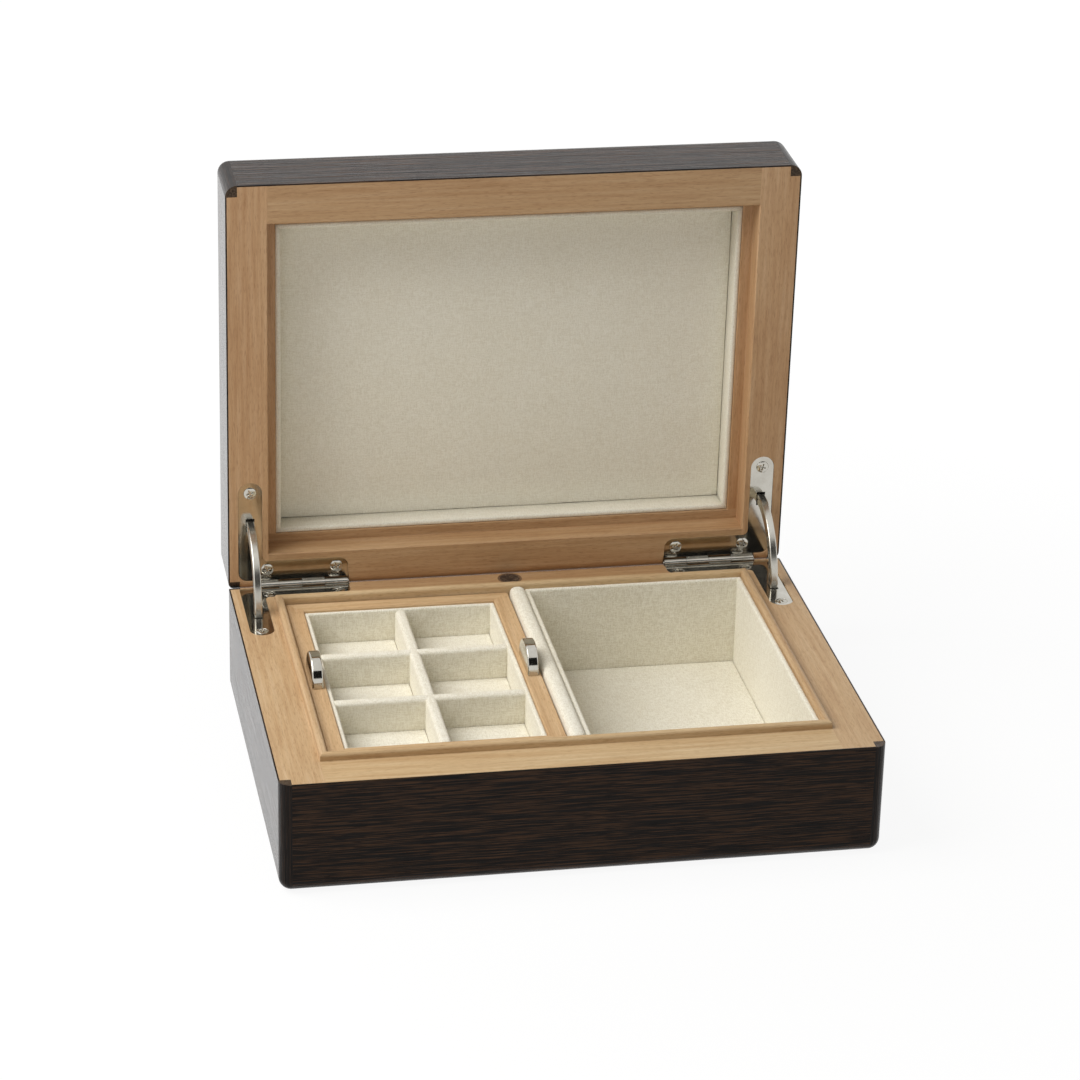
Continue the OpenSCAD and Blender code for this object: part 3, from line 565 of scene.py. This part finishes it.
def soft_block(bm, lo, hi, r, step=STEP, crown=0.0, side=(2, 1), wobble=0.0, seed=0.0):
    """Adds a block with round edges to bm. The face named by side (axis, sign) swells by crown."""
    lines = [ticks(lo[k], hi[k], r, step) for k in range(3)]
    inner_lo, inner_hi = lo + Vector((r, r, r)), hi - Vector((r, r, r))
    made = {}

    def vertex(i, j, k):
        key = (i, j, k)
        if key in made:
            return made[key]
        p = Vector((lines[0][i], lines[1][j], lines[2][k]))
        q = Vector([min(max(p[a], inner_lo[a]), inner_hi[a]) for a in range(3)])
        d = p - q
        if d.length > TINY:
            p = q + d.normalized() * r
        a, sign = side
        share = (p[a] - lo[a]) / (hi[a] - lo[a])
        share = share if sign > 0 else 1 - share
        swell = 1.0
        for b in range(3):
            if b != a:
                t = 2 * (p[b] - lo[b]) / (hi[b] - lo[b]) - 1
                swell *= 1 - abs(t) ** 3
        p[a] += sign * crown * share * swell
        if wobble:
            n = noise.noise_vector((p * WOBBLE_PER_M) + Vector((seed, seed * 2, seed * 3)))
            p += n * wobble
        made[key] = bm.verts.new(p)
        return made[key]

    n = [len(x) - 1 for x in lines]
    for a in range(3):
        b, c = (a + 1) % 3, (a + 2) % 3
        for end in (0, n[a]):
            for i in range(n[b]):
                for j in range(n[c]):
                    quad = []
                    for di, dj in ((0, 0), (1, 0), (1, 1), (0, 1)):
                        key = [0, 0, 0]
                        key[a], key[b], key[c] = end, i + di, j + dj
                        quad.append(vertex(*key))
                    bm.faces.new(quad if end else quad[::-1])


def soft_piece(node, build):
    """Makes the piece that stands for a node: build(bm) draws it in its half's own frame."""
    bm = bmesh.new()
    build(bm)
    bmesh.ops.transform(bm, matrix=frame_of(node), verts=bm.verts)
    mesh = bpy.data.meshes.new("soft_" + node)
    bm.to_mesh(mesh)
    bm.free()
    mesh.polygons.foreach_set("use_smooth", [True] * len(mesh.polygons))
    obj = bpy.data.objects.new("soft_" + node, mesh)
    bpy.context.scene.collection.objects.link(obj)
    # The lid's soft pieces get the lighter copy of the cloth, with painted light
    obj.data.materials.append(LID_CLOTH_PAINTED_LIGHT if body_of[node] == "lid" else CLOTH)
    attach(obj, body_of[node])
    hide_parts(node)


def blocks(node, r, crown=0.0, side=(2, 1), wobble=0.06 * MM, step=STEP, reach=0.0, grow=0.0):
    """A block for each solid of a node. Boards that run along x reach into the ones they meet."""
    def build(bm):
        for i, (lo, hi) in enumerate(islands(node)):
            ends = reach if hi.x - lo.x > 10 * (hi.y - lo.y) else grow
            lo, hi = lo - Vector((ends, grow, 0)), hi + Vector((ends, grow, 0))
            soft_block(bm, lo, hi, r, step, crown, side, wobble, seed=3.1 * i + len(node))
    return build


DIVIDER_R = 1.45 * MM
INTO_DIVIDER = 2.05 * MM
INTO_LINING = 0.9 * MM


def cross_dividers(bm):
    """The cross dividers, each in the lengths between the long divider and the linings."""
    (long_lo, long_hi), = islands("tray_long_divider")
    for i, (lo, hi) in enumerate(islands("tray_cross_dividers")):
        for x0, x1 in ((lo.x - INTO_LINING, long_lo.x + INTO_DIVIDER),
                       (long_hi.x - INTO_DIVIDER, hi.x + INTO_LINING)):
            soft_block(bm, Vector((x0, lo.y, lo.z)), Vector((x1, hi.y, hi.z)), DIVIDER_R,
                       step=2 * MM, wobble=0.05 * MM, seed=7.7 * i + x0 * 100)


STRIP_R = 0.8 * MM
STRIP_ARC_STEPS = 4
STRIP_STEPS = 40
STRIP_GAP = 0.06 * MM  # from a mitre to the end of a strip
STRIP_FADE = 3  # steps from an end over which the unevenness grows
STRIP_WOBBLE_MM = 0.05
STRIP_WOBBLE_PER_M = 60


def strip_section(thick, bottom, top):
    """Section of a strip: distance from its outer face, and height. Two of its edges are round."""
    r = STRIP_R
    arc = [math.radians(90 / STRIP_ARC_STEPS * i) for i in range(STRIP_ARC_STEPS + 1)]
    section = [(thick, top)]
    section += [(thick - r + r * math.cos(a), bottom + r - r * math.sin(a)) for a in arc]
    section += [(r - r * math.sin(a), bottom + r - r * math.cos(a)) for a in arc]
    return section + [(0.0, top)]


def lining_strips(bm):
    """The mitred strips round the lid's recess, their exposed edges rounded."""
    boxes = islands("lid_lining_strips")
    low = Vector([min(b[0][k] for b in boxes) for k in range(3)])
    high = Vector([max(b[1][k] for b in boxes) for k in range(3)])
    thick = min(min(b[1][k] - b[0][k] for k in (0, 1)) for b in boxes)
    section = strip_section(thick, low.z, high.z)
    n = len(section)
    round_the_lid = ((low.x, low.y), (high.x, low.y), (high.x, high.y), (low.x, high.y))
    corners = [Vector(c) for c in round_the_lid]
    for i in range(4):
        a, b = corners[i], corners[(i + 1) % 4]
        run = (b - a).normalized()
        inward = Vector((-run.y, run.x))
        rings = []
        for s in range(STRIP_STEPS + 1):
            ring = []
            for d, z in section:
                start, end = d + STRIP_GAP, (b - a).length - d - STRIP_GAP
                p = a + run * (start + (end - start) * s / STRIP_STEPS) + inward * d
                at = Vector((p.x, p.y, z)) * STRIP_WOBBLE_PER_M + Vector((i * 5.0, 0, 0))
                w = noise.noise_vector(at) * STRIP_WOBBLE_MM * MM
                fade = min(1.0, s / STRIP_FADE, (STRIP_STEPS - s) / STRIP_FADE)
                ring.append(bm.verts.new((p.x + w.x * fade, p.y + w.y * fade, z + w.z * fade)))
            rings.append(ring)
        for s in range(STRIP_STEPS):
            for k in range(n):
                after = (k + 1) % n
                bm.faces.new([rings[s][k], rings[s + 1][k], rings[s + 1][after], rings[s][after]])
        bm.faces.new(rings[0])
        bm.faces.new(rings[-1][::-1])
    bmesh.ops.recalc_face_normals(bm, faces=bm.faces)


def soft_blocks(node, fill, r, **settings):
    soft_piece(node, blocks(node, r, **settings))


soft_blocks("padded_divider", 0.9, 2.4 * MM, wobble=0.10 * MM)
soft_blocks("well_boards", 1.0, 0.85 * MM, reach=0.9 * MM)
soft_blocks("well_floor_pad", 0.8, 0.7 * MM, crown=0.5 * MM, wobble=0.12 * MM, step=3 * MM)
soft_blocks("tray_ledge_boards", 1.0, 0.9 * MM, reach=1.2 * MM)
soft_blocks("lower_floor_pad", 0.8, 0.9 * MM, crown=0.5 * MM, wobble=0.12 * MM, step=3 * MM)
soft_piece("lid_lining_strips", lining_strips)
soft_blocks("lid_lining_pad", 0.8, 0.5 * MM, crown=0.7 * MM, side=(2, -1), wobble=0.15 * MM,
            step=3 * MM, grow=0.07 * MM)
soft_blocks("tray_lining_boards", 1.0, 0.8 * MM, reach=0.9 * MM)
soft_blocks("tray_long_divider", 1.0, DIVIDER_R, wobble=0.05 * MM, step=2 * MM)
soft_piece("tray_cross_dividers", cross_dividers)
soft_blocks("tray_cell_pads", 0.8, 0.5 * MM, crown=0.35 * MM, grow=0.03 * MM)


# ---- Stage --------------------------------------------------------------
WHITE = (1, 1, 1, 1)
AIM = (0, 0, 0.05)
FLOOR_SIZE = (12, 12)
FLOOR_COLOUR = (0.85, 0.85, 0.85, 1)
FLOOR_GLOW = 1.02
# Share of plain white in what a direct ray sees of the floor, near the object and away from it
NEAR_M, NEAR_SHARE = 0.16, 0.90
AWAY_M, AWAY_SHARE = 0.50, 1.0
SKY_COLOUR = (1.0, 0.97, 0.93, 1)
SKY_STRENGTH = 0.32
KEY_AT = (-0.58, -0.04, 0.76)
KEY_SIZE = 0.68
KEY_POWER = 8.3
KEY_COLOUR = (1.0, 0.99, 0.975)
FLAG_AT = (0.10, -0.99, 0.81)
FLAG_SIZE = (1.5, 0.74)
FLAG_COLOUR = (0.01, 0.01, 0.01, 1)


def stage_plane(name, size, at):
    """A plane with a material of its own, and that material's node tree."""
    mesh = bpy.data.meshes.new(name)
    w, h = size[0] / 2, size[1] / 2
    mesh.from_pydata([(-w, -h, 0), (w, -h, 0), (w, h, 0), (-w, h, 0)], [], [(0, 1, 2, 3)])
    obj = bpy.data.objects.new(name, mesh)
    bpy.context.scene.collection.objects.link(obj)
    obj.location = at
    mat = bpy.data.materials.new(name)
    mat.use_nodes = True
    mesh.materials.append(mat)
    return obj, mat.node_tree


def aim(obj, track):
    """Turns the track axis of a light or card towards the box."""
    obj.rotation_euler = (Vector(AIM) - obj.location).to_track_quat(track, "Y").to_euler()


def direct_ray(t):
    """1 for a ray that shows the background: camera, glossy or transmission."""
    path = t.new("LightPath").outputs
    seen = t.math("MAXIMUM", path["Is Camera Ray"], path["Is Glossy Ray"])
    return t.math("MAXIMUM", seen, path["Is Transmission Ray"])


def join(t, kind, fac, lit, white):
    """Output node of the given kind that shows the shader white where fac is 1, else lit."""
    mix = t.new("MixShader")
    t.link(fac, mix.inputs["Fac"])
    t.link(lit.outputs[0], mix.inputs[1])
    t.link(white.outputs[0], mix.inputs[2])
    t.link(mix.outputs[0], t.new(kind).inputs["Surface"])


def make_floor():
    """Plain white away from the object, with the object's shadow near it."""
    tree = stage_plane("floor", FLOOR_SIZE, (0, 0, 0))[1]
    t = Tree(tree)
    diffuse = t.new("BsdfDiffuse")
    diffuse.inputs["Color"].default_value = FLOOR_COLOUR
    glow = t.new("Emission")
    glow.inputs["Color"].default_value = WHITE
    glow.inputs["Strength"].default_value = FLOOR_GLOW
    near = t.new("MapRange")
    near.inputs["From Min"].default_value = NEAR_M
    near.inputs["From Max"].default_value = AWAY_M
    near.inputs["To Min"].default_value = NEAR_SHARE
    near.inputs["To Max"].default_value = AWAY_SHARE
    t.link(t.length(t.new("TexCoord").outputs["Object"]), near.inputs["Value"])
    share = t.math("MULTIPLY", direct_ray(t), near.outputs["Result"])
    join(t, "OutputMaterial", share, diffuse, glow)


def make_world():
    world = bpy.data.worlds.new("studio")
    bpy.context.scene.world = world
    world.use_nodes = True
    t = Tree(world.node_tree)
    soft = t.new("Background")
    soft.inputs["Color"].default_value = SKY_COLOUR
    soft.inputs["Strength"].default_value = SKY_STRENGTH
    white = t.new("Background")
    white.inputs["Color"].default_value = WHITE
    white.inputs["Strength"].default_value = 1.0
    join(t, "OutputWorld", direct_ray(t), soft, white)


def make_key_light():
    data = bpy.data.lights.new("key", "AREA")
    data.shape = "RECTANGLE"
    data.size = data.size_y = KEY_SIZE
    data.energy = KEY_POWER
    data.color = KEY_COLOUR
    obj = bpy.data.objects.new("key", data)
    bpy.context.scene.collection.objects.link(obj)
    obj.location = KEY_AT
    aim(obj, "-Z")


def make_flag():
    """A black card that only reflections see, as a studio uses to draw edges in polished metal."""
    card, tree = stage_plane("flag", FLAG_SIZE, FLAG_AT)
    aim(card, "Z")
    shader = tree.nodes["Principled BSDF"]
    shader.inputs["Base Color"].default_value = FLAG_COLOUR
    shader.inputs["Roughness"].default_value = 1.0
    card.visible_camera = False
    card.visible_diffuse = False
    card.visible_shadow = False
    card.visible_transmission = False


make_floor()
make_world()
make_key_light()
make_flag()

bpy.context.scene.view_settings.view_transform = "Standard"
